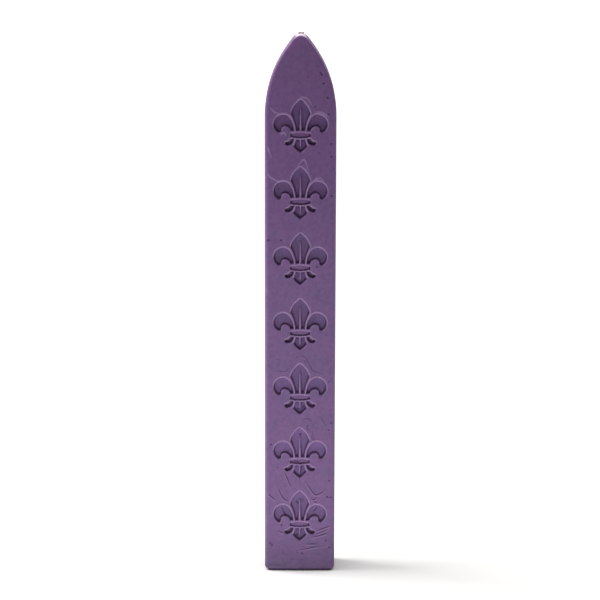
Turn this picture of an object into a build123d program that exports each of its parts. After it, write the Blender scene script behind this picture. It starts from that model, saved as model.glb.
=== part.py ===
from build123d import *
import os
from math import cos, pi, sin, sqrt, tau

# A stick of sealing wax: a flat cast bar with a pointed arch for a tip, a row of fleur-de-lis sunk
# into its front face, and a twisted cotton wick along its axis.
# Millimetres. The origin is the middle of the foot, Z runs up the stick, the front face looks to -Y.

# Wax bar
BAR_WIDTH = 11.64
BAR_DEPTH = 7.3
SHOULDER_HEIGHT = 76.6  # foot to the springing of the pointed arch
ARCH_RADIUS = 18.4  # each flank of the arch
TIP_RADIUS = 1.9  # the arch's rounded point
FOOT_CORNER = 0.75  # corners of the front outline at the foot
EDGE_ROUND = 0.4  # edges round the front and the back

# Row of fleur-de-lis
MOTIF_COUNT = 7
MOTIF_PITCH = 10.9
LOWEST_POINT = 13.9  # height of the lowest motif's point above the foot
POCKET_DEPTH = 0.6
WALL_DRAFT = 14.0  # degrees, so that the casting leaves its mould
RIDGE = 0.16  # wax left between the pockets above, in and below the band

# Middle petal, a spear
SPEAR_LENGTH = 5.2
SPEAR_WIDTH = 3.3
SPEAR_WIDEST = 2.35  # drop from the point to the widest place
SPEAR_FOOT_WIDTH = 1.56
SPEAR_BULGE = 0.3  # of the upper flanks
SPEAR_WAIST = 0.13  # hollow of the lower flanks
SPEAR_RIB_LENGTH = 3.6
SPEAR_RIB_WIDTH = 0.5

# Side petal: up from its inner root, over the shoulder, round the hooked tip and back
WING_JOINTS = [  # where its arcs join (across, down from the root)
    (1.02, 0.0),
    (1.8, -2.35),
    (2.98, -2.8),
    (4.41, -1.36),
    (3.74, 0.2),
    (3.06, -0.17),
    (2.46, -0.75),
    (1.63, 0.0),
]
WING_HEADING = (-0.05, -1.0)  # of the first arc

# Band that ties the petals
BAND_WIDTH = 3.24
BAND_HEIGHT = 0.92
BAND_END_HEIGHT = 0.56

# Curl below the band: down its upper side, round the tip and back
CURL_JOINTS = [(1.63, 0.0), (2.31, 0.51), (2.56, 0.87), (2.07, 1.19), (0.99, 0.0)]  # as the petal's
CURL_HEADING = (0.28, 0.96)

# Tail below the band, a spade
TAIL_LENGTH = 2.28
TAIL_TOP_WIDTH = 1.58
TAIL_WIDTH = 2.36
TAIL_WIDEST = 1.2  # drop from the top to the widest place
TAIL_FLARE = 0.06  # hollow of the upper sides
TAIL_BULGE = 0.08  # of the lower sides
TAIL_RIB_LENGTH = 1.15
TAIL_RIB_WIDTH = 0.26

RIB_DROP = 0.1  # the ribs stop this far below the face

# Wick of twisted plies
WICK_DIAMETER = 1.1
PLY_COUNT = 3
TWIST_PITCH = 6.0  # height of one turn of a ply
PLY_GAP = 0.02  # between neighbouring plies
BORE_CLEARANCE = 0.02  # between the wick and the wax round it
STUB_LENGTH = 0.7  # wick that stands out of the tip
WICK_LIFT = 0.2  # the wick is cut this far above the foot

ON_THE_FOOT = (Align.CENTER, Align.CENTER, Align.MIN)

half_width = BAR_WIDTH / 2
tip_centre = SHOULDER_HEIGHT + sqrt((ARCH_RADIUS - TIP_RADIUS) ** 2 - (ARCH_RADIUS - half_width) ** 2)
bar_height = tip_centre + TIP_RADIUS
wick_top = bar_height + STUB_LENGTH
wick_radius = WICK_DIAMETER / 2
band_top = SPEAR_LENGTH + RIDGE
band_middle = band_top + BAND_HEIGHT / 2
below_band = band_top + BAND_HEIGHT + RIDGE
curl_root = band_middle + (BAND_HEIGHT + BAND_END_HEIGHT) / 4 + RIDGE


def bar_outline():
    """Front outline of the bar: straight sides, a pointed arch and rounded foot corners."""
    shoulder = (half_width, SHOULDER_HEIGHT)
    overhang = ARCH_RADIUS - half_width  # from the axis to the arch's centre on the far side
    reach = TIP_RADIUS / (ARCH_RADIUS - TIP_RADIUS)
    join = (overhang * reach, tip_centre + (tip_centre - SHOULDER_HEIGHT) * reach)
    right_side = Line((half_width, 0), shoulder)
    right_arch = TangentArc(shoulder, join, tangent=(0, 1))
    tip = ThreePointArc(join, (0, bar_height), (-join[0], join[1]))
    left_arch = mirror(right_arch, about=Plane.YZ)
    left_side = mirror(right_side, about=Plane.YZ)
    foot = Line((-half_width, 0), (half_width, 0))
    face = make_face([right_side, right_arch, tip, left_arch, left_side, foot])
    return fillet(face.vertices().sort_by(Axis.Y)[:2], FOOT_CORNER)


def plain_bar():
    """The bar before its pockets, with the edges round its front and back softened."""
    upright = Plane(origin=(0, 0, 0), x_dir=(1, 0, 0), z_dir=(0, -1, 0))
    bar = extrude(upright * bar_outline(), amount=BAR_DEPTH / 2, both=True)
    rims = bar.faces().sort_by(Axis.Y)
    return fillet(rims[0].edges() + rims[-1].edges(), EDGE_ROUND)


def petal_face(joints, heading, root):
    """Face inside a chain of arcs, each of which runs smoothly on from the last, closed by a straight root."""
    corners = [(across, root + down) for across, down in joints]
    arcs = []
    for here, there in zip(corners, corners[1:]):
        arcs.append(TangentArc(here, there, tangent=heading))
        heading = arcs[-1] % 1
    return make_face(arcs + [Line(corners[-1], corners[0])])


def both_sides(edges):
    """The edges of a right half outline, and their mirror images."""
    return edges + [mirror(edge, about=Plane.YZ) for edge in edges]


def spear_face():
    widest = (SPEAR_WIDTH / 2, SPEAR_WIDEST)
    foot = (SPEAR_FOOT_WIDTH / 2, SPEAR_LENGTH)
    upper = SagittaArc((0, 0), widest, -SPEAR_BULGE)
    lower = SagittaArc(widest, foot, SPEAR_WAIST)
    base = Line(foot, (0, SPEAR_LENGTH))
    return make_face(both_sides([upper, lower, base]))


def band_face():
    end_top = (BAND_WIDTH / 2, band_middle - BAND_END_HEIGHT / 2)
    end_bottom = (BAND_WIDTH / 2, band_middle + BAND_END_HEIGHT / 2)
    top = ThreePointArc((-end_top[0], end_top[1]), (0, band_top), end_top)
    bottom = ThreePointArc((-end_bottom[0], end_bottom[1]), (0, band_top + BAND_HEIGHT), end_bottom)
    ends = both_sides([Line(end_top, end_bottom)])
    return make_face([top, bottom] + ends)


def tail_face():
    top = (TAIL_TOP_WIDTH / 2, below_band)
    widest = (TAIL_WIDTH / 2, below_band + TAIL_WIDEST)
    bottom = (0, below_band + TAIL_LENGTH)
    upper = SagittaArc(top, widest, TAIL_FLARE)
    lower = SagittaArc(widest, bottom, -TAIL_BULGE)
    lid = Line((0, below_band), top)
    return make_face(both_sides([lid, upper, lower]))


def rib(root, tip, width):
    """Thin wedge that stays standing in a pocket, from its root at a ridge to its tip."""
    outline = make_face(Polyline((-width / 2, root), (width / 2, root), (0, tip), close=True))
    return Pos(0, 0, RIB_DROP) * extrude(outline, amount=POCKET_DEPTH)


def pocket(face):
    return extrude(face, amount=POCKET_DEPTH, taper=WALL_DRAFT)


def motif():
    """All that one fleur-de-lis takes out of the wax: across, down from its point, and into the wax."""
    wing = pocket(petal_face(WING_JOINTS, WING_HEADING, SPEAR_LENGTH))
    curl = pocket(petal_face(CURL_JOINTS, CURL_HEADING, curl_root))
    spear_rib = rib(SPEAR_LENGTH, SPEAR_LENGTH - SPEAR_RIB_LENGTH, SPEAR_RIB_WIDTH)
    tail_rib = rib(below_band, below_band + TAIL_RIB_LENGTH, TAIL_RIB_WIDTH)
    spear = pocket(spear_face()) - spear_rib
    tail = pocket(tail_face()) - tail_rib
    pairs = [wing, curl, mirror(wing, about=Plane.YZ), mirror(curl, about=Plane.YZ)]
    return pairs + [spear, tail, pocket(band_face())]


def wax_bar():
    cuts = [Cylinder(wick_radius + BORE_CLEARANCE, bar_height, align=ON_THE_FOOT)]
    pockets = motif()
    for number in range(MOTIF_COUNT):
        point = (0, -BAR_DEPTH / 2, LOWEST_POINT + number * MOTIF_PITCH)
        place = Plane(origin=point, x_dir=(1, 0, 0), z_dir=(0, 1, 0))
        cuts += [place * piece for piece in pockets]
    return plain_bar() - cuts


def ply_sizes():
    """Radius of a ply, and of the helix that its middle follows."""
    half_turn = sin(pi / PLY_COUNT)
    lean = half_turn * WICK_DIAMETER / TWIST_PITCH  # brings leaning neighbours closer, by about its cosine
    spacing = 2 * half_turn * cos(lean)
    ply_radius = (spacing * wick_radius - PLY_GAP) / (2 + spacing)
    return ply_radius, wick_radius - ply_radius


def helix_point(radius, angle):
    return Vector(radius * cos(angle), radius * sin(angle), TWIST_PITCH * angle / tau)


def helix_direction(radius, angle):
    return Vector(-radius * sin(angle), radius * cos(angle), TWIST_PITCH / tau).normalized()


def biarc(radius, start_angle, end_angle):
    """Two arcs that meet smoothly and follow a stretch of the helix."""
    start = helix_point(radius, start_angle)
    end = helix_point(radius, end_angle)
    leave = helix_direction(radius, start_angle)
    arrive = helix_direction(radius, end_angle)
    chord = end - start
    reach = chord.dot(leave + arrive)
    bend = 2 * (1 - leave.dot(arrive))
    handle = (sqrt(reach**2 + bend * chord.dot(chord)) - reach) / bend
    middle = (start + leave * handle + end - arrive * handle) * 0.5
    first = TangentArc(start, middle, tangent=leave)
    return [first, TangentArc(middle, end, tangent=first % 1)]


def wick_ply():
    """One ply: a round strand on a helix, cut level at both ends."""
    ply_radius, helix_radius = ply_sizes()
    quarter = tau / 4
    quarters = int((wick_top + TWIST_PITCH) / TWIST_PITCH * 4) + 1
    arcs = []
    for number in range(-1, quarters):
        arcs += biarc(helix_radius, number * quarter, (number + 1) * quarter)
    path = Wire(arcs)
    section = Plane(origin=path @ 0, z_dir=path % 0) * Circle(ply_radius)
    strand = sweep(section, path=path)
    return strand & Pos(0, 0, WICK_LIFT) * Box(BAR_WIDTH, BAR_DEPTH, wick_top - WICK_LIFT, align=ON_THE_FOOT)


def save(piece, name):
    piece.label = name
    export_step(piece, f"parts/{name}.step")


os.makedirs("parts", exist_ok=True)
save(wax_bar(), "wax_bar")
ply = wick_ply()
for number in range(PLY_COUNT):
    save(Rot(0, 0, 360 / PLY_COUNT * number) * ply, f"wick_ply_{number + 1}")
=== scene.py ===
from math import atan2, cos, pi, radians, sin, sqrt, tau

import bpy
import numpy as np
from mathutils import Euler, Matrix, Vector
from mathutils.bvhtree import BVHTree


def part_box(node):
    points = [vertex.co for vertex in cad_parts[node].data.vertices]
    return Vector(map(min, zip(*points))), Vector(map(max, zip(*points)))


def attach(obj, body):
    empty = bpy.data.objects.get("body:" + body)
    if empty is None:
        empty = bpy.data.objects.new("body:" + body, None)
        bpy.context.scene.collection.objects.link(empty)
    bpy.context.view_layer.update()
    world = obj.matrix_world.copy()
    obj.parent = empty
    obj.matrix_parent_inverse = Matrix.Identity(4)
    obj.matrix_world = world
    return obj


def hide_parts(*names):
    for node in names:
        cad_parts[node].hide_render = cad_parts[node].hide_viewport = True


# A stick of purple sealing wax that stands on a white table.
# Shapes are worked out in millimetres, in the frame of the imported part, and become metres last.

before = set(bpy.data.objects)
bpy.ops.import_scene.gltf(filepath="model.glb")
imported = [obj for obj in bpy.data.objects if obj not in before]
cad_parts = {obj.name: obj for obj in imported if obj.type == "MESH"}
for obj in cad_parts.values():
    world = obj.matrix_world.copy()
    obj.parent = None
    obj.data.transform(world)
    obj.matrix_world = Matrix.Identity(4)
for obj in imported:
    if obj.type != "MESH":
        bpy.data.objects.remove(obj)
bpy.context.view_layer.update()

MM = 0.001
random = np.random.default_rng(7)

# Wax bar
ARCH_RADIUS = 18.4  # each flank of the pointed arch
TIP_RADIUS = 1.9
FOOT_CORNER = 0.75
EDGE_ROUND = 0.6  # edges round the front and the back
TIP_BEND = 0.35  # less than one makes their curve tighter than a circle's, at the tip
SKIN = 0.08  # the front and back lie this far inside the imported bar's, so that what swells stays in it
SKIN_USED = 0.9  # share of it that folds may fill
GRID = 0.07  # spacing of the front's vertices
COARSE = 4  # the sides and the back have every fourth of them
BOW_LENGTH = 5.0  # below the tip, where the rows start to follow its curve
EDGE_STEPS = 5
SIDE_STEPS = 24
EVEN_STEPS = 0.3  # share of the side's steps that is even. The rest makes them closer near the wick
UNEVEN = 0.008  # height of the ripples on the sides, the front and the back
LEFT_RIPPLE = 37  # longest wave up the left side
RIGHT_RIPPLE = 29
FACE_RIPPLE = 31  # up the front and the back
CROSS_RIPPLE = 13  # and across them
WAVE_SHARES = (1, 0.53, 0.31)  # lengths of the waves that make up a ripple
CROWN = 0.2  # the front and the back stand this much higher in the middle than at the sides
FOOT_RISE = 0.14  # of the foot's rim above the table
FOOT_FLAT = 0.72  # share of the foot's half width and half depth that lies flat
PEAK_RISE = 0.35  # the tip is drawn up towards the wick by this much
PEAK_REACH = 1.3

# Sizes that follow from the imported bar
bar_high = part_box("wax_bar")[1]
half_width = bar_high.x / MM
half_depth = bar_high.y / MM
face_reach = half_depth - SKIN
bar_height = bar_high.z / MM
tip_centre = bar_height - TIP_RADIUS
overhang = ARCH_RADIUS - half_width
shoulder = tip_centre - sqrt((ARCH_RADIUS - TIP_RADIUS) ** 2 - overhang**2)

# Relief of the front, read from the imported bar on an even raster
RASTER = 0.05
RELIEF_REACH = 4.8  # across, from the middle
RELIEF_FOOT = 3.0
RELIEF_TOP = 81.0
WALL_REACH = 0.15  # of the pockets' walls, from the floor's edge outwards
CRISP = 0.04  # how far the casting has softened everything
RIM_LIGHT_AND_SHADE_REACH = 0.18  # of the painted highlight along edges and ridges, and the painted shade in corners
RIM_LIGHT_AND_SHADE_CELLS = 2  # it lies this many cells higher, so that the painted highlight falls on upper rims and the painted shade on ledges
FILLED = 0.08  # share of their depth that the lowest pockets lack
FILLED_FOOT = 12.0
FILLED_TOP = 46.0  # from here on the pockets have their whole depth
cells_across = np.arange(-half_width, half_width + RASTER, RASTER)
cells_up = np.arange(0, bar_height + RASTER, RASTER)

# Bands and ribs of the motifs, from the lowest motif upwards
MOTIFS = 7
LOWEST_POINT = 13.9  # height of the lowest motif's point
MOTIF_SPACING = 10.9
MOTIF_POINTS = [LOWEST_POINT + MOTIF_SPACING * number for number in range(MOTIFS)]
BAND_MIDDLE = 5.82  # the band's place below the point
BAND_HALF = 0.44
BAND_REACH = 1.6
BAND_TAPER = 0.6  # share of its height that it loses at its ends
BAND_ROOM = 1.15  # it is set into plain wax, this many times as large
BAND_CREST = 0.1  # share of its half height above its middle, from where it sinks downwards
BAND_END = 8  # a larger power makes its ends sink later
CLEAR_BAND = (0.5, 0.28)  # depth at its lower edge and its ends, and how much higher its crest stands
FLAT_BAND = (0.42, 0.12)
FLAT_BANDS = 2
BANDS = FLAT_BANDS * [FLAT_BAND] + (MOTIFS - FLAT_BANDS) * [CLEAR_BAND]
RIB_ENDS = [1.5, 7.7]  # below the point. Both ribs of a motif start at its band
RIB_SIZE = (0.22, 0.5)  # width and height
RIB_DROP = 0.06  # of their crests below the face

# Marks of the pour and of handling on the front: places (across, up) that each line runs through
FOLDS = [
    [(-0.2, 79.4), (0.4, 79.6), (1.2, 79.3), (2.0, 78.1)],
    [(2.1, 77.3), (3.4, 77.2), (4.0, 76.9), (4.7, 76.2)],
    [(-5.0, 78.0), (-4.2, 77.2), (-3.4, 77.0)],
    [(-5.5, 72.0), (-5.2, 71.3), (-4.7, 69.7)],
    [(-5.4, 67.7), (-5.1, 66.9), (-3.9, 66.1), (-2.3, 65.8)],
    [(-0.5, 68.3), (0.2, 69.3), (0.6, 69.5), (0.9, 69.0), (1.4, 67.6)],
    [(2.1, 66.1), (2.6, 66.4), (3.2, 66.5), (3.9, 65.9)],
    [(0.4, 16.0), (1.4, 14.6), (2.4, 13.2), (3.1, 13.1), (3.9, 13.6), (4.5, 14.4)],
    [(1.9, 12.4), (2.4, 12.2), (2.9, 12.8)],
    [(2.2, 11.9), (2.9, 11.7)],
    [(-3.8, 14.4), (-3.0, 12.8), (-2.5, 12.2), (-1.8, 12.0)],
    [(-5.4, 13.2), (-4.1, 12.1)],
    [(-2.6, 17.1), (-1.5, 14.4)],
    [(2.9, 6.8), (5.1, 7.6)],
    [(2.8, 6.2), (4.8, 7.1)],
    [(1.8, 5.6), (3.8, 6.1), (4.6, 6.4)],
    [(1.0, 4.5), (3.1, 4.5)],
    [(-0.7, 3.3), (1.3, 3.7), (2.6, 4.0), (4.6, 4.2)],
    [(-3.5, 6.7), (-2.7, 6.4)],
    [(1.2, 9.9), (1.3, 9.0)],
    [(-3.3, 73.5), (-2.7, 73.9), (-2.3, 73.4)],
]
GROOVES = [
    [
        (-1.2, 36.1), (-0.3, 36.9), (0.4, 37.0), (1.0, 36.7),
        (1.7, 35.3), (2.1, 34.6), (2.9, 34.3), (3.9, 34.0),
    ],
    [(0.7, 36.4), (1.0, 35.7)],
    [(-3.9, 34.5), (-2.4, 34.4), (-1.9, 34.9)],
    [(0.7, 26.2), (1.2, 26.4), (1.7, 26.2), (2.1, 25.8)],
    [(1.0, 25.2), (1.4, 25.2), (1.2, 24.7), (1.7, 24.4)],
    [(2.1, 24.4), (2.1, 23.9), (2.3, 23.1), (2.7, 22.6)],
    [(1.9, 23.6), (2.1, 22.9), (2.5, 22.5)],
    [(3.4, 26.8), (4.5, 25.0)],
    [(-5.0, 79.4), (-4.7, 79.1)],
]
CRACKS = [
    [(-0.5, 28.0), (0.0, 27.9), (0.6, 28.3), (1.1, 28.5)],
    [(-1.2, 19.0), (-0.5, 19.0), (0.0, 18.6), (0.8, 18.8)],
    [(0.2, 18.2), (0.2, 16.8)],
    [(-3.0, 11.1), (-2.6, 10.1), (-2.2, 9.7)],
    [(2.9, 11.0), (2.3, 10.2)],
    [(-0.6, 12.1), (-0.2, 11.6)],
]
PITS = [
    (3.2, 83.6), (3.4, 83.3), (3.7, 81.9), (4.4, 79.6), (2.4, 78.1), (4.5, 76.9), (5.0, 72.1), (5.0, 70.0),
    (5.1, 63.6), (-3.1, 56.3), (-5.1, 56.3), (2.8, 51.9), (5.2, 25.6), (4.8, 24.4), (0.1, 23.6), (-4.8, 21.9),
    (4.9, 15.7), (4.6, 12.9), (5.2, 12.8), (-3.0, 8.0), (-0.4, 6.2), (4.4, 5.3), (-4.9, 4.8), (-4.6, 4.5),
    (5.0, 4.1), (0.5, 3.1),
]
GRAINS = [(0.3, 27.0), (0.1, 21.2), (4.2, 22.0), (4.6, 21.5), (-3.7, 36.1), (-3.7, 11.4)]
FOLD_SIZE = (0.25, 0.07)  # width and height
GRAIN_SIZE = (0.2, 0.07)
GROOVE_CUT = (0.16, 0.1)  # width and depth
CRACK_CUT = (0.18, 0.16)
PIT_CUT = (0.26, 0.2)
MARK_BELL = 0.6  # share of a mark's width at which it has lost about two thirds of its depth
MARK_FADE = 0.4  # a smaller power keeps a line's depth for longer towards its ends
LINE_STEPS = 24  # places on a line between two of its points
FOLD_SHADE_CELLS = 4  # the painted shade on a fold lies this many cells above its crest
FOLD_SHADE_TOP = 40.0  # the upper folds have no painted shade
SHADED_FOLD_HIGHLIGHT = 0.8  # share of their painted highlight that the folds with painted shade keep

# Knocks on the edges: place, reach, and how far the wax is pushed in
KNOCKS = [
    ((-half_width, -3.4, 48.05), 0.35, (0.1, 0.08, 0)),
    ((half_width, -3.5, 33.0), 0.6, (-0.06, 0.05, 0)),
    ((-half_width, 3.4, 22.0), 0.9, (0.08, -0.07, 0)),
    ((half_width, 3.4, 61.0), 0.8, (-0.07, -0.08, 0)),
    ((4.1, -3.4, 84.8), 0.35, (-0.09, 0.07, -0.05)),
]

# Wick
PLIES = ["wick_ply_1", "wick_ply_2", "wick_ply_3"]
PLY_RADIUS = 0.248
HELIX_RADIUS = 0.302
TWIST_PITCH = 6.0
PLY_STEP = 0.03  # each ply is cut this much lower than the last
PLY_RINGS = 420  # of vertices along a ply
FIBRES = 6  # bundles of fibre that show on it
FIBRE_SIDES = 4  # vertices round each bundle
FIBRE_DEPTH = 0.07  # half the depth between bundles, as a share of the ply's radius
FIBRE_TWIST = 9.0  # of the bundles round the ply
END_ROUND = 0.1
WICK_REACH = 0.7  # of the wax that was drawn to the wick as it set
WICK_EDGE = 4  # a larger power makes that wax end more steeply
COLLAR = 0.1  # its rise at the tip
DIMPLE = 0.21  # its shrinkage at the foot

# Maps: columns for the stick's front, its back and the two halves of its rim, and a strand's side and ends
MAP_EDGE = 0.02  # free margin
FRONT_MAP = (MAP_EDGE, 0.4)
BACK_MAP = (0.42, 0.62)
RIM_MAPS = [(0.64, 0.8), (0.82, 1 - MAP_EDGE)]
STRAND_MAP = (MAP_EDGE, 0.88)
END_MAP = 0.03  # radius of an end
LOWER_END_MAP = (0.94, 0.1)
UPPER_END_MAP = (0.94, 0.3)

# Camera, in metres and degrees
EYE = (-0.00003, -0.350, 0.11435)
PITCH_DOWN = 11.10
ROLL = 0.14
VIEW_ANGLE = 15.86
NEAREST = 0.01

# Table and light, with lengths in metres
WHITE = (1.0, 1.0, 1.0)
TABLE_WHITE = (0.89, 0.88, 0.86)
TABLE_FRONT = 0.11  # of table in front of the stick
TABLE_REACH = 2.5  # and behind and beside it
TABLE_GLOW = 0.02  # near the stick
GLOW_START = 0.12  # from here on it grows, which keeps the table white to the eye as the lamps' light fades
GLOW_END = 1.0
AMBIENT = 0.07  # light from all round

# Lamps: place, point that it faces, width and height, and power in watts
LAMPS = {
    "left_panel": ((-0.5, 0.07, 0.6), (0, 0, 0), (0.34, 0.34), 4.7),
    "right_panel": ((0.5, 0.15, 0.6), (0, 0, 0), (0.4, 0.4), 1.15),
    "top_panel": ((-0.05, 0.0, 0.8), (0, 0, 0), (0.5, 0.5), 4.4),
    "front_panel": ((-0.4, -0.5, 0.015), (0, 0, 0.04), (0.5, 0.02), 0.33),
}

# Colours
WAX_ROSE = (0.303, 0.174, 0.394)
WAX_BLUE = (0.274, 0.174, 0.382)
WAX_UPPER_SHADE = (0.92, 0.85, 0.92)  # share that the upper part keeps: painted shade
WAX_FLOOR_SHADE = (0.95, 1.0, 0.99)  # share that the pockets' floors keep: painted shade, a little bluer
WAX_FLOOR_LIGHT = (0.42, 0.28, 0.72)  # painted light on the lower pockets' floors
WAX_SHADED_AND_RUBBED = (0.68, 0.66, 0.55)  # share that the sides keep: painted shade near the tip, and wear where they are handled near the foot
# pale wax on the wick's thread, and painted highlights on rims and folds
WAX_PALE_AND_HIGHLIGHT = (0.52, 0.35, 0.62)
# deep tone of the mottle, and painted shade in corners, grooves, above folds and under the foot
WAX_DEEP_AND_SHADE = (0.09, 0.04, 0.11)
DIRT = (0.09, 0.073, 0.125)
# the wick's thread, and a painted highlight on the stick's tip
COTTON_AND_TIP_HIGHLIGHT = (0.82, 0.76, 0.8)
SINGED = (0.46, 0.39, 0.4)

# Noise: how many features to a metre, and their detail
CLOUDS = (420, 4)
MOTTLE = (1600, 4)
STREAKS = (900, 900, 1500)  # how close the dirt's streaks are, across and up
SMEARS = (1, 8)  # on the streaks
SPECKS = (1150, 1)
SHEEN = (700, 3)
WAX_GRAIN = (1400, 3)
FINE_GRAIN = (5000, 2)
THREAD = (9000, 3)
RAGGED = (2600, 2)

# A span says where an effect starts, where it is full, and how much it then is, if not one.
# A fourth number says how much it is at its start, if not zero.

# Spans of noise
CLOUD_SPAN = (0.36, 0.64)
MOTTLE_SPAN = (0.35, 0.7, 0.16)
SMEAR_SPAN = (0.46, 0.74, 0.5)
SPECK_SPAN = (0.7, 0.78, 0.45)
SHEEN_SPAN = (0.3, 0.7, 0.62, 0.48)
THREAD_SPAN = (0.3, 0.7, 0.35)
THREAD_SHEEN_SPAN = (0.2, 0.8, 0.8, 0.55)

# Spans of the depths and heights that the front's vertices hold, in millimetres
FLOOR_SPAN = (0.2, 0.55)
# painted highlights and painted shade on rims, corners, folds and grooves
RIM_HIGHLIGHT_SPAN = (0.02, 0.16, 0.7)
CORNER_SHADE_SPAN = (-0.03, -0.18, 0.85)
FOLD_HIGHLIGHT_SPAN = (0.015, 0.06, 0.6)
FOLD_SHADE_SPAN = (0.025, 0.065, 0.9)
GROOVE_SHADE_SPAN = (0.03, 0.1, 0.5)
PIT_SPAN = (0.16, 0.2, 0.6)

# Spans of the height above the table, and one of the distance behind the stick's axis, in metres
tip_height = bar_height * MM
# where the painted shade of the upper part grows
UPPER_SHADE_SPAN = (0.045, 0.075)
# painted light on the lower pockets' floors
FLOOR_LIGHT_SPAN = (FILLED_TOP * MM, FILLED_FOOT * MM, 0.26)
SMEARED_SPAN = (0.009, 0.0005)
DIRTY_SPAN = (0.009, 0.0008, 0.42)
# painted shade under the foot's rim
UNDERSIDE_SHADE_SPAN = (0.0005, 0.0002, 0.9)
BEHIND_SPAN = (-0.0034, -0.003)
# painted shade on the sides near the tip
SHADED_TIP_SPAN = (shoulder * MM, tip_centre * MM)
RUBBED_FOOT_SPAN = (0.03, 0.0, 0.6)
# painted highlight on the top of the tip
TIP_HIGHLIGHT_SPAN = (tip_height - 0.0002, tip_height + 0.0003, 0.7)
SINGED_SPAN = (tip_height + 0.0006, tip_height + 0.0008)

# Gloss, and the fine relief of the two materials: height in metres, and strength
WAX_SPECULAR = 0.15
WAX_BUMP = (0.00003, 0.15)
WICK_SPECULAR = 0.3
WICK_BUMP = (0.00005, 0.6)
RAGGED_HEIGHT = 0.0004  # of the singed part's lower edge


class Mesh:
    """Vertices, faces and places on the map of a piece that is put together from grids."""

    def __init__(self):
        self.vertices = []
        self.faces = []
        self.maps = []
        self.count = 0

    def add_vertices(self, places):
        shape = places.shape[:-1]
        ids = np.arange(self.count, self.count + places.size // 3).reshape(shape)
        self.vertices.append(places.reshape(-1, 3))
        self.count += ids.size
        return ids

    def add_grid(self, ids, maps):
        for grid, kept in ((ids, self.faces), (maps, self.maps)):
            corners = np.stack([grid[:-1, :-1], grid[:-1, 1:], grid[1:, 1:], grid[1:, :-1]], axis=2)
            kept.extend(corners.reshape((-1, 4) + grid.shape[2:]).tolist())

    def add_face(self, ids, maps):
        self.faces.append([int(number) for number in ids])
        self.maps.append(np.asarray(maps).tolist())

    def finish(self, name):
        mesh = bpy.data.meshes.new(name)
        mesh.from_pydata((np.concatenate(self.vertices) * MM).tolist(), [], self.faces)
        corners = np.array([place for face in self.maps for place in face])
        mesh.uv_layers.new(name="OFBake").data.foreach_set("uv", corners.ravel())
        mesh.shade_smooth()
        piece = bpy.data.objects.new(name, mesh)
        bpy.context.scene.collection.objects.link(piece)
        return piece


def smoothstep(values, start, end):
    """Zero up to the start, one from the end on, and smooth between them."""
    share = np.clip((values - start) / (end - start), 0, 1)
    return share * share * (3 - 2 * share)


def ripple(values, longest):
    """A gentle unevenness along one measure, between nothing and its height."""
    waves = [np.sin(tau * values / (longest * share) + random.uniform(0, tau)) for share in WAVE_SHARES]
    return UNEVEN * (1 + sum(waves) / len(waves)) / 2


def flank(steps):
    """The right edge of the front's flat, from foot to tip: length so far, place, and where it faces."""
    corner = FOOT_CORNER - EDGE_ROUND
    arch = ARCH_RADIUS - EDGE_ROUND
    arch_turn = atan2(tip_centre - shoulder, overhang)
    corner_length = corner * pi / 2
    straight_length = shoulder - FOOT_CORNER
    along = np.linspace(0, corner_length + straight_length + arch * arch_turn, steps)
    turn = np.clip(along / corner - pi / 2, -pi / 2, 0)
    turn += np.clip((along - corner_length - straight_length) / arch, 0, None)
    above = np.clip(along - corner_length, 0, straight_length)
    outward = np.stack([np.cos(turn), np.sin(turn)], axis=1)
    in_corner = np.array([half_width - FOOT_CORNER, FOOT_CORNER]) + corner * outward
    in_arch = np.array([-overhang, shoulder]) + arch * outward
    places = np.where(turn[:, None] > 0, in_arch, in_corner)
    places[:, 1] += np.where(turn == 0, above, 0)
    return along, places, outward


def front_grid():
    """The front's vertices (across, up) in rows from foot to tip, and where its edge faces."""
    height = shoulder + ARCH_RADIUS / 2  # roughly, as it only sets the number of rows
    rows = COARSE * round(height / GRID / COARSE) + 1
    columns = 2 * COARSE * round(half_width / GRID / COARSE) + 1
    along, ends, facing = flank(rows)
    share = np.linspace(-1, 1, columns)
    tip_reach = ends[-1, 0]
    tip_round = TIP_RADIUS - EDGE_ROUND
    lift = np.sqrt(tip_round**2 - (share * tip_reach) ** 2) - sqrt(tip_round**2 - tip_reach**2)
    bow = smoothstep(along, along[-1] - BOW_LENGTH, along[-1])
    places = np.stack([ends[:, :1] * share, ends[:, 1:] + bow[:, None] * lift], axis=2)
    outward = np.zeros(places.shape)
    outward[:, -1] = facing
    outward[:, 0] = facing * (-1, 1)
    outward[0, :] = (0, -1)
    tip_turn = np.arcsin(places[-1, :, 0] / tip_round)
    outward[-1] = np.stack([np.sin(tip_turn), np.cos(tip_turn)], axis=1)
    return places, outward


def read_relief():
    """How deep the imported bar's front lies behind its face, on the raster."""
    tree = BVHTree.FromObject(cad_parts["wax_bar"], bpy.context.evaluated_depsgraph_get())
    inward = Vector((0, 1, 0))
    depth = np.zeros((len(cells_up), len(cells_across)))
    for row in np.flatnonzero((cells_up > RELIEF_FOOT) & (cells_up < RELIEF_TOP)):
        for column in np.flatnonzero(np.abs(cells_across) < RELIEF_REACH):
            eye = Vector((cells_across[column], -2 * half_depth, cells_up[row])) * MM
            depth[row, column] = tree.ray_cast(eye, inward)[0].y / MM + half_depth
    return depth


def blurred(field, reach):
    """The field, smoothed by a bell curve."""
    far = int(3 * reach / RASTER)
    bell = np.exp(-0.5 * (np.arange(-far, far + 1) * RASTER / reach) ** 2)
    bell /= bell.sum()
    for axis in (0, 1):
        field = np.apply_along_axis(np.convolve, axis, field, bell, "same")
    return field


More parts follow.
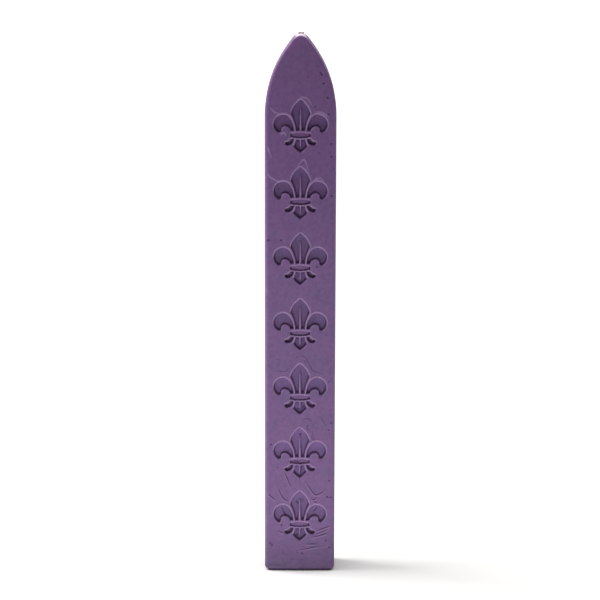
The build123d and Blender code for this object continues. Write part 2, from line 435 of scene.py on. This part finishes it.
def sampled(field, places):
    """The raster's field at places between its points."""
    row = np.clip(places[..., 1] / RASTER, 0, len(cells_up) - 1)
    column = np.clip((places[..., 0] + half_width) / RASTER, 0, len(cells_across) - 1)
    below = np.minimum(row.astype(int), len(cells_up) - 2)
    left = np.minimum(column.astype(int), len(cells_across) - 2)
    up, right = row - below, column - left
    lower = field[below, left] * (1 - right) + field[below, left + 1] * right
    upper = field[below + 1, left] * (1 - right) + field[below + 1, left + 1] * right
    return lower * (1 - up) + upper * up


def smooth_line(points):
    """Closely spaced places on a smooth curve through the points."""
    points = np.array([points[0], *points, points[-1]])
    share = np.linspace(0, 1, LINE_STEPS)[:, None]
    spans = []
    for before, here, there, after in zip(points, points[1:], points[2:], points[3:]):
        bend = before - 2.5 * here + 2 * there - 0.5 * after
        twist = 1.5 * (here - there) + 0.5 * (after - before)
        spans.append(here + 0.5 * (there - before) * share + bend * share**2 + twist * share**3)
    return np.concatenate(spans)


def cut(field, places, width, depth):
    """Presses a soft groove into the field along close places, which fades out at its ends."""
    reach = int(2 * width / RASTER) + 1
    fades = np.sin(pi * (np.arange(len(places)) + 0.5) / len(places)) ** MARK_FADE
    for (x, z), fade in zip(places, fades):
        row, column = round(z / RASTER), round((x + half_width) / RASTER)
        rows = slice(max(row - reach, 0), row + reach + 1)
        columns = slice(max(column - reach, 0), column + reach + 1)
        away = (cells_up[rows, None] - z) ** 2 + (cells_across[None, columns] - x) ** 2
        window = field[rows, columns]
        np.maximum(window, fade * depth * np.exp(-away / (MARK_BELL * width) ** 2), out=window)


def pressed(lines, size, spots=(), spot_size=None):
    """A field of grooves along the lines, and of round spots."""
    field = np.zeros((len(cells_up), len(cells_across)))
    for points in lines:
        cut(field, smooth_line(points), *size)
    for spot in spots:
        cut(field, [spot], *spot_size)
    return field


def marks():
    """Depth of the grooves, cracks and pits on the front, and height of its folds and grains."""
    grooves = pressed(GROOVES, GROOVE_CUT)
    cracks = pressed(CRACKS, CRACK_CUT, PITS, PIT_CUT)
    return np.maximum(grooves, cracks), pressed(FOLDS, FOLD_SIZE, GRAINS, GRAIN_SIZE)


def sloped(depth):
    """The pockets with walls that rise from the floor's edge at one slope."""
    reach = int(WALL_REACH / RASTER)
    slope = depth.max() / WALL_REACH
    walls = depth
    for row in range(-reach, reach + 1):
        for column in range(-reach, reach + 1):
            rise = slope * RASTER * sqrt(row**2 + column**2)
            walls = np.maximum(walls, np.roll(depth, (row, column), (0, 1)) - rise)
    return walls


def press_band(depth, ribs, point, lowest, swell):
    """Sets a motif's band into plain wax: a lens that sinks from its crest to its lower edge and its ends."""
    up = cells_up[:, None] - point + BAND_MIDDLE
    across = np.abs(cells_across) / BAND_REACH
    depth[(np.abs(up) < BAND_ROOM * BAND_HALF) & (across < BAND_ROOM)] = 0
    up = up / (BAND_HALF * (1 - BAND_TAPER * across**2))
    below_crest = np.clip((BAND_CREST - up) / (1 + BAND_CREST), 0, 1)
    sinking = np.maximum(below_crest**2, across**BAND_END)
    band = (np.abs(up) < 1) & (across < 1)
    depth[band] = lowest - swell * (1 - sinking[band])
    ribs[band] = 0


def cast_relief():
    """The pockets as the casting has them: a little soft, with sloping walls, bands and thin ribs."""
    depth = read_relief()
    rib_lines = [
        [(0, point - BAND_MIDDLE), (0, point - end)]
        for point in MOTIF_POINTS
        for end in RIB_ENDS
    ]
    ribs = pressed(rib_lines, RIB_SIZE)
    for point, (lowest, swell) in zip(MOTIF_POINTS, BANDS):
        press_band(depth, ribs, point, lowest, swell)
    depth = sloped(depth)
    return blurred(np.maximum(depth - ribs, np.minimum(depth, RIB_DROP)), CRISP)


def front_surface(places):
    """How deep the front lies behind its face, and what its colours follow, painted light and shade among
    them.
    """
    pockets = cast_relief()
    cuts, folds = marks()
    up = places[..., 1]
    hollow = sampled(pockets, places) * (1 - FILLED * smoothstep(up, FILLED_TOP, FILLED_FOOT))
    scarred = sampled(cuts, places)
    raised = sampled(folds, places)
    # painted shade just above the lower folds
    fold_shade = np.roll(folds, FOLD_SHADE_CELLS, 0) * (cells_up < FOLD_SHADE_TOP)[:, None]
    # painted highlight on the upper rims, painted shade on the ledges and in the corners
    rim_light_and_shade = np.roll(blurred(pockets, RIM_LIGHT_AND_SHADE_REACH), RIM_LIGHT_AND_SHADE_CELLS, 0) - pockets
    fields = {
        "hollow": hollow,
        "edge": sampled(rim_light_and_shade, places),
        "mark": scarred,
        "fold": raised * np.where(up < FOLD_SHADE_TOP, SHADED_FOLD_HIGHLIGHT, 1),
        "fold_shade": sampled(fold_shade, places),
    }
    return np.maximum(hollow + scarred - raised, -SKIN_USED * SKIN), fields


def around(grid):
    """The rim of a grid, from the middle of its foot up the right and back down the left."""
    rim = np.concatenate([grid[0, :-1], grid[:-1, -1], grid[-1, :0:-1], grid[:0:-1, 0]])
    return np.roll(rim, -(grid.shape[1] // 2), axis=0)


def edge_profile():
    """Steps round the front's edge: how far out, and how far back."""
    turns = np.linspace(0, pi / 2, EDGE_STEPS + 1)[1:]
    return [(EDGE_ROUND * sin(turn), EDGE_ROUND * (1 - cos(turn)) - face_reach) for turn in turns]


def side_profile():
    """Steps across the side, closer near the wick, and round the back's edge."""
    reach = face_reach - EDGE_ROUND
    steps = np.linspace(-1, 1, SIDE_STEPS + 1)[1:]
    side = [(EDGE_ROUND, reach * (EVEN_STEPS * step + (1 - EVEN_STEPS) * step**3)) for step in steps]
    back = [(out, -y) for out, y in reversed(edge_profile()[:-1])]
    return side + back


def upright(places, y):
    """Places on the front (across, up) as places in space."""
    return np.stack([places[..., 0], np.broadcast_to(y, places.shape[:-1]), places[..., 1]], axis=-1)


def map_up(share):
    """Where on the map a share of a piece's height is."""
    return MAP_EDGE + (1 - 2 * MAP_EDGE) * share


def flat_map(places, column):
    """Places on the map of places on the front or the back."""
    left, right = column
    across = (places[..., 0] + half_width) / (2 * half_width)
    return np.stack([left + across * (right - left), map_up(places[..., 1] / bar_height)], axis=-1)


class Rim:
    """Rings of vertices round the bar, from the front's edge across the sides to the back's edge."""

    def __init__(self, mesh, places, outward):
        self.mesh = mesh
        self.places = around(places)
        self.outward = around(outward)
        self.half = len(self.places) // 2
        self.bends = 1 - (1 - TIP_BEND) * smoothstep(self.places[:, 1], shoulder, tip_centre)
        path = np.array([(0, -face_reach), *edge_profile(), *side_profile(), (0, face_reach)])
        self.widths = np.append(0, np.cumsum(np.hypot(*np.diff(path, axis=0).T)))

    def ring(self, step, out, y):
        """A line round the bar. Where it runs on an edge, the edge is tighter towards the tip."""
        bend = self.bends[::step]
        slant = max(1 - (face_reach - abs(y)) / EDGE_ROUND, 0)
        reach = EDGE_ROUND * (out / EDGE_ROUND) ** bend
        edge = self.places[::step] + reach[:, None] * self.outward[::step]
        return self.mesh.add_vertices(upright(edge, y + np.sign(y) * EDGE_ROUND * (slant**bend - slant)))

    def map_at(self, steps, number, part):
        """Places on the map of steps along a ring, in the rim's right half (0) or its left one (1)."""
        left, right = RIM_MAPS[part]
        up = np.asarray(steps) / self.half
        up = 2 - up if part else up
        across = left + (right - left) * self.widths[number] / self.widths[-1]
        return np.stack([np.full(up.shape, across), map_up(up)], axis=-1)

    def join(self, rings, step, first):
        """Faces between neighbouring rings, of which the first has this number."""
        ids = np.stack(rings, axis=1)
        ids = np.concatenate([ids, ids[:1]])
        for part in (0, 1):
            steps = np.arange(part * self.half, (part + 1) * self.half + 1, step)
            maps = [self.map_at(steps, first + number, part) for number in range(len(rings))]
            self.mesh.add_grid(ids[steps // step], np.stack(maps, axis=1))

    def bridge(self, fine, coarse):
        """Faces between the last fine ring and the first coarse one."""
        for number, start in enumerate(range(0, 2 * self.half, COARSE)):
            part = start // self.half
            steps = np.arange(start + COARSE, start - 1, -1)
            ids = [*fine[steps % (2 * self.half)], coarse[number], coarse[(number + 1) % len(coarse)]]
            near = self.map_at(steps, EDGE_STEPS, part)
            far = self.map_at([start, start + COARSE], EDGE_STEPS + 1, part)
            self.mesh.add_face(ids, np.concatenate([near, far]))


def worn(places):
    """The wax as it is: raised at the foot's rim, drawn to the wick, uneven, and knocked at its edges."""
    x, y, z = places.T.copy()
    side, front = x / half_width, y / half_depth
    rim = np.maximum(np.abs(side), np.abs(front))
    near_foot = smoothstep(z, FOOT_CORNER, 0)
    near_tip = smoothstep(z, shoulder, tip_centre)
    near_wick = np.exp(-((np.hypot(x, y) / WICK_REACH) ** WICK_EDGE))
    z += near_foot * (FOOT_RISE * smoothstep(rim, FOOT_FLAT, 1) + DIMPLE * near_wick)
    z += near_tip * (PEAK_RISE * np.exp(-((x / PEAK_REACH) ** 2)) + COLLAR * near_wick)
    x -= side * np.where(side < 0, ripple(z, LEFT_RIPPLE), ripple(z, RIGHT_RIPPLE))
    y -= front * (ripple(z, FACE_RIPPLE) + ripple(x, CROSS_RIPPLE) + CROWN * side**2)
    out = np.stack([x, y, z], axis=1)
    for centre, reach, push in KNOCKS:
        away = ((places - centre) ** 2).sum(axis=1) / reach**2
        out += np.exp(-away)[:, None] * push
    return out


def wax_stick():
    """The casting: a fine front with the relief, its edge, and coarser sides and back."""
    places, outward = front_grid()
    depth, fields = front_surface(places)
    mesh = Mesh()
    front_ids = mesh.add_vertices(upright(places, depth - face_reach))
    mesh.add_grid(front_ids, flat_map(places, FRONT_MAP))
    rim = Rim(mesh, places, outward)
    fine = [around(front_ids)] + [rim.ring(1, out, y) for out, y in edge_profile()]
    rim.join(fine, 1, 0)
    coarse = [rim.ring(COARSE, out, y) for out, y in side_profile()]
    back_places = places[::COARSE, ::COARSE]
    back_ids = mesh.add_vertices(upright(back_places, face_reach))
    rim.join([*coarse, around(back_ids)], COARSE, EDGE_STEPS + 1)
    mesh.add_grid(back_ids.T, flat_map(back_places.transpose(1, 0, 2), BACK_MAP))
    rim.bridge(fine[-1], coarse[0])
    mesh.vertices = [worn(np.concatenate(mesh.vertices))]
    piece = mesh.finish("wax_stick")
    for name, values in fields.items():
        padded = np.zeros(mesh.count, np.float32)
        padded[: values.size] = values.ravel()
        piece.data.attributes.new(name, "FLOAT", "POINT").data.foreach_set("value", padded)
    return piece


def strand(name, number):
    """One ply of the wick: bundles of fibre on a helix, rounded at its upper end."""
    low, high = (corner.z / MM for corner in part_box(name))
    high -= PLY_STEP * number
    rounding = high - END_ROUND * (1 - np.sin(np.linspace(0, pi / 2, EDGE_STEPS)))
    z = np.append(np.linspace(low, rounding[0], PLY_RINGS)[:-1], rounding)[:, None]
    turn = tau * z / TWIST_PITCH + tau * number / len(PLIES)
    angle = np.linspace(0, tau, FIBRE_SIDES * FIBRES + 1)[None, :]
    into_end = np.clip((z - rounding[0]) / END_ROUND, 0, 1)
    radius = PLY_RADIUS * (1 - FIBRE_DEPTH + FIBRE_DEPTH * np.cos(FIBRES * angle - FIBRE_TWIST * z))
    radius -= END_ROUND * (1 - np.sqrt(1 - into_end**2))
    x = HELIX_RADIUS * np.cos(turn) + radius * np.cos(angle)
    y = HELIX_RADIUS * np.sin(turn) + radius * np.sin(angle)
    mesh = Mesh()
    places = np.stack([x, y, np.broadcast_to(z, x.shape)], axis=2)
    ids = mesh.add_vertices(places[:, :-1])
    ids = np.concatenate([ids, ids[:, :1]], axis=1)
    u, v = np.meshgrid(np.linspace(*STRAND_MAP, angle.size), map_up(np.linspace(0, 1, len(z))))
    mesh.add_grid(ids, np.stack([u, v], axis=2))
    circle = END_MAP * np.stack([np.cos(angle[0, :-1]), np.sin(angle[0, :-1])], axis=1)
    mesh.add_face(ids[0, -2::-1], circle[::-1] + LOWER_END_MAP)
    mesh.add_face(ids[-1, :-1], circle + UPPER_END_MAP)
    return mesh.finish(name.replace("ply", "strand"))


class Nodes:
    """Short calls to build a shader's nodes."""

    def __init__(self, tree):
        self.tree = tree
        tree.nodes.clear()

    def add(self, kind, **settings):
        node = self.tree.nodes.new(kind)
        for key, value in settings.items():
            setattr(node, key, value)
        return node

    def feed(self, socket, value):
        """Links an output to the socket, or sets a number, a direction or a colour on it."""
        if isinstance(value, bpy.types.NodeSocket):
            self.tree.links.new(value, socket)
        elif socket.type == "RGBA":
            socket.default_value = (*value, 1)
        else:
            socket.default_value = value

    def place(self):
        """The point of the piece that is shaded, and its measures along X, Y and Z."""
        point = self.add("ShaderNodeTexCoord").outputs["Object"]
        measures = self.add("ShaderNodeSeparateXYZ")
        self.feed(measures.inputs[0], point)
        return point, measures.outputs

    def attribute(self, name):
        return self.add("ShaderNodeAttribute", attribute_name=name).outputs["Fac"]

    def noise(self, place, scale, detail):
        node = self.add("ShaderNodeTexNoise")
        self.feed(node.inputs["Vector"], place)
        self.feed(node.inputs["Scale"], scale)
        self.feed(node.inputs["Detail"], detail)
        return node.outputs["Fac"]

    def span(self, value, start, end, high=1.0, low=0.0):
        """Low where the value is at the start, high at the end, and smooth between them."""
        node = self.add("ShaderNodeMapRange", interpolation_type="SMOOTHSTEP")
        for socket, given in zip(node.inputs, (value, start, end, low, high)):
            self.feed(socket, given)
        return node.outputs["Result"]

    def vector_maths(self, operation, first, second):
        node = self.add("ShaderNodeVectorMath", operation=operation)
        self.feed(node.inputs[0], first)
        self.feed(node.inputs[1], second)
        return node.outputs["Vector"]

    def maths(self, operation, first, second):
        node = self.add("ShaderNodeMath", operation=operation)
        self.feed(node.inputs[0], first)
        self.feed(node.inputs[1], second)
        return node.outputs[0]

    def mixed(self, share, first, second, blend="MIX"):
        node = self.add("ShaderNodeMix", data_type="RGBA", blend_type=blend)
        self.feed(node.inputs["Factor"], share)
        self.feed(node.inputs[6], first)
        self.feed(node.inputs[7], second)
        return node.outputs[2]

    def tinted(self, colour, tint, value, span):
        """The colour with as much of the tint as the value's span says."""
        return self.mixed(self.span(value, *span), colour, tint)

    def bump(self, height, distance, strength):
        node = self.add("ShaderNodeBump")
        self.feed(node.inputs["Height"], height)
        self.feed(node.inputs["Distance"], distance)
        self.feed(node.inputs["Strength"], strength)
        return node.outputs["Normal"]

    def surface(self, shader):
        output = self.add("ShaderNodeOutputMaterial")
        self.feed(output.inputs["Surface"], shader)

    def principled(self, colour, roughness, specular, normal):
        shader = self.add("ShaderNodeBsdfPrincipled")
        self.feed(shader.inputs["Base Color"], colour)
        self.feed(shader.inputs["Roughness"], roughness)
        self.feed(shader.inputs["Specular IOR Level"], specular)
        self.feed(shader.inputs["Normal"], normal)
        self.surface(shader.outputs["BSDF"])


def new_material(name):
    material = bpy.data.materials.new(name)
    material.use_nodes = True
    return material, Nodes(material.node_tree)


def cast_colour(nodes, place, along):
    """Clouds of two purples, finely mottled, and darker in the upper part by painted shade."""
    colour = nodes.tinted(WAX_BLUE, WAX_ROSE, nodes.noise(place, *CLOUDS), CLOUD_SPAN)
    colour = nodes.tinted(colour, WAX_DEEP_AND_SHADE, nodes.noise(place, *MOTTLE), MOTTLE_SPAN)
    return nodes.mixed(nodes.span(along["Z"], *UPPER_SHADE_SPAN), colour, WAX_UPPER_SHADE, "MULTIPLY")


def pocket_colour(nodes, colour, along):
    """The motifs: painted shade on their floors, painted light on the lower ones' floors, painted highlights
    on the rims and painted shade in the corners.
    """
    floor = nodes.span(nodes.attribute("hollow"), *FLOOR_SPAN)
    # painted shade on the pockets' floors
    colour = nodes.mixed(floor, colour, WAX_FLOOR_SHADE, "MULTIPLY")
    # painted light on the floors of the lower, shallower pockets
    floor_light = nodes.maths("MULTIPLY", floor, nodes.span(along["Z"], *FLOOR_LIGHT_SPAN))
    colour = nodes.mixed(floor_light, colour, WAX_FLOOR_LIGHT)
    edge = nodes.attribute("edge")
    # painted highlight on the rims, then painted shade in the corners
    colour = nodes.tinted(colour, WAX_PALE_AND_HIGHLIGHT, edge, RIM_HIGHLIGHT_SPAN)
    return nodes.tinted(colour, WAX_DEEP_AND_SHADE, edge, CORNER_SHADE_SPAN)


def mark_colour(nodes, colour):
    """Painted highlights on the folds with painted shade above them, painted shade in the grooves, cracks and
    pits, and dirt in the pits.
    """
    # painted highlight on the folds, then painted shade above them
    colour = nodes.tinted(colour, WAX_PALE_AND_HIGHLIGHT, nodes.attribute("fold"), FOLD_HIGHLIGHT_SPAN)
    colour = nodes.tinted(colour, WAX_DEEP_AND_SHADE, nodes.attribute("fold_shade"), FOLD_SHADE_SPAN)
    mark = nodes.attribute("mark")
    # painted shade in the grooves, cracks and pits
    colour = nodes.tinted(colour, WAX_DEEP_AND_SHADE, mark, GROOVE_SHADE_SPAN)
    return nodes.tinted(colour, DIRT, mark, PIT_SPAN)


def dirt_colour(nodes, colour, place, along):
    """Smears and dirt near the foot, painted shade on its underside, and specks all over."""
    streaks = nodes.vector_maths("MULTIPLY", place, STREAKS)
    smear = nodes.span(nodes.noise(streaks, *SMEARS), *SMEAR_SPAN)
    smeared = nodes.maths("MULTIPLY", nodes.span(along["Z"], *SMEARED_SPAN), smear)
    colour = nodes.mixed(smeared, colour, DIRT)
    colour = nodes.tinted(colour, DIRT, along["Z"], DIRTY_SPAN)
    # painted shade under the foot's rim
    colour = nodes.tinted(colour, WAX_DEEP_AND_SHADE, along["Z"], UNDERSIDE_SHADE_SPAN)
    return nodes.tinted(colour, DIRT, nodes.noise(place, *SPECKS), SPECK_SPAN)


def side_shade_wear_and_highlight_colour(nodes, colour, along):
    """Behind the front: painted shade on the sides near the tip, wear near the foot, and a painted highlight
    on the top of the tip.
    """
    behind = nodes.span(along["Y"], *BEHIND_SPAN)
    at_tip = nodes.span(along["Z"], *SHADED_TIP_SPAN)
    at_foot = nodes.span(along["Z"], *RUBBED_FOOT_SPAN)
    # painted shade on the sides near the tip, and wear near the foot
    shaded_and_rubbed = nodes.maths("MULTIPLY", nodes.maths("MAXIMUM", at_tip, at_foot), behind)
    colour = nodes.mixed(shaded_and_rubbed, colour, WAX_SHADED_AND_RUBBED, "MULTIPLY")
    # painted highlight on the top of the tip, behind the front
    tip_highlight = nodes.maths("MULTIPLY", nodes.span(along["Z"], *TIP_HIGHLIGHT_SPAN), behind)
    return nodes.mixed(tip_highlight, colour, COTTON_AND_TIP_HIGHLIGHT)


def wax_material():
    """Cast wax: colours over each other, with painted light and shade among them, an uneven sheen and a fine
    grain.
    """
    material, nodes = new_material("cast_wax")
    place, along = nodes.place()
    colour = cast_colour(nodes, place, along)
    colour = pocket_colour(nodes, colour, along)
    colour = mark_colour(nodes, colour)
    colour = dirt_colour(nodes, colour, place, along)
    colour = side_shade_wear_and_highlight_colour(nodes, colour, along)
    roughness = nodes.span(nodes.noise(place, *SHEEN), *SHEEN_SPAN)
    grain = nodes.maths("ADD", nodes.noise(place, *WAX_GRAIN), nodes.noise(place, *FINE_GRAIN))
    nodes.principled(colour, roughness, WAX_SPECULAR, nodes.bump(grain, *WAX_BUMP))
    return material


def wick_material():
    """Cotton thread soaked with wax, singed at its end."""
    material, nodes = new_material("waxed_cotton")
    place, along = nodes.place()
    thread = nodes.noise(place, *THREAD)
    ragged = nodes.maths("MULTIPLY", nodes.noise(place, *RAGGED), RAGGED_HEIGHT)
    colour = nodes.tinted(COTTON_AND_TIP_HIGHLIGHT, WAX_PALE_AND_HIGHLIGHT, thread, THREAD_SPAN)
    colour = nodes.tinted(colour, SINGED, nodes.maths("ADD", along["Z"], ragged), SINGED_SPAN)
    roughness = nodes.span(thread, *THREAD_SHEEN_SPAN)
    nodes.principled(colour, roughness, WICK_SPECULAR, nodes.bump(thread, *WICK_BUMP))
    return material


def seen_directly(nodes):
    """One for what the camera sees, also in gloss or through glass, and zero for light on things."""
    path = nodes.add("ShaderNodeLightPath")
    gloss = nodes.maths("MAXIMUM", path.outputs["Is Camera Ray"], path.outputs["Is Glossy Ray"])
    return nodes.maths("MAXIMUM", gloss, path.outputs["Is Transmission Ray"])


def table_material():
    """Matt white, which stays white to the eye where the lamps don't reach."""
    material, nodes = new_material("white_table")
    matt = nodes.add("ShaderNodeBsdfDiffuse")
    nodes.feed(matt.inputs["Color"], TABLE_WHITE)
    distance = nodes.add("ShaderNodeVectorMath", operation="LENGTH")
    nodes.feed(distance.inputs[0], nodes.add("ShaderNodeTexCoord").outputs["Object"])
    strength = nodes.span(distance.outputs["Value"], GLOW_START, GLOW_END, low=TABLE_GLOW)
    glow = nodes.add("ShaderNodeEmission")
    nodes.feed(glow.inputs["Strength"], nodes.maths("MULTIPLY", seen_directly(nodes), strength))
    both = nodes.add("ShaderNodeAddShader")
    nodes.feed(both.inputs[0], matt.outputs[0])
    nodes.feed(both.inputs[1], glow.outputs[0])
    nodes.surface(both.outputs[0])
    return material


def table():
    """The table's top."""
    left, right, near, far = -TABLE_REACH, TABLE_REACH, -TABLE_FRONT, TABLE_REACH
    mesh = bpy.data.meshes.new("table")
    corners = [(left, near, 0), (right, near, 0), (right, far, 0), (left, far, 0)]
    mesh.from_pydata(corners, [], [(0, 1, 2, 3)])
    mesh.materials.append(table_material())
    top = bpy.data.objects.new("table", mesh)
    bpy.context.scene.collection.objects.link(top)


def surroundings():
    """A white backdrop that sheds only a little light."""
    world = bpy.data.worlds.new("studio")
    bpy.context.scene.world = world
    world.use_nodes = True
    nodes = Nodes(world.node_tree)
    mix = nodes.add("ShaderNodeMixShader")
    nodes.feed(mix.inputs[0], seen_directly(nodes))
    for socket, strength in zip(mix.inputs[1:], (AMBIENT, 1.0)):
        light = nodes.add("ShaderNodeBackground")
        nodes.feed(light.inputs["Color"], WHITE)
        nodes.feed(light.inputs["Strength"], strength)
        nodes.feed(socket, light.outputs[0])
    output = nodes.add("ShaderNodeOutputWorld")
    nodes.feed(output.inputs["Surface"], mix.outputs[0])


def lamp(name, place, towards, size, power):
    """A soft panel of light that faces a point, and isn't seen itself."""
    data = bpy.data.lights.new(name, "AREA")
    data.shape = "RECTANGLE"
    data.size, data.size_y = size
    data.energy = power
    panel = bpy.data.objects.new(name, data)
    panel.location = place
    panel.rotation_euler = (Vector(towards) - Vector(place)).to_track_quat("-Z", "Y").to_euler()
    panel.visible_camera = False
    bpy.context.scene.collection.objects.link(panel)


def camera():
    """A near camera that looks down a little."""
    data = bpy.data.cameras.new("camera")
    data.angle = radians(VIEW_ANGLE)
    data.clip_start = NEAREST
    eye = bpy.data.objects.new("camera", data)
    eye.location = EYE
    tilt = Euler((radians(90 - PITCH_DOWN), 0, 0)).to_matrix()
    roll = Euler((0, 0, radians(ROLL))).to_matrix()
    eye.rotation_euler = (tilt @ roll).to_euler()
    bpy.context.scene.collection.objects.link(eye)
    bpy.context.scene.camera = eye


stick = wax_stick()
stick.data.materials.append(wax_material())
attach(stick, "root")
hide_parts("wax_bar")
cotton = wick_material()
for number, name in enumerate(PLIES):
    ply = strand(name, number)
    ply.data.materials.append(cotton)
    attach(ply, "root")
    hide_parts(name)
table()
surroundings()
for name, settings in LAMPS.items():
    lamp(name, *settings)
camera()
bpy.context.scene.view_settings.view_transform = "Standard"
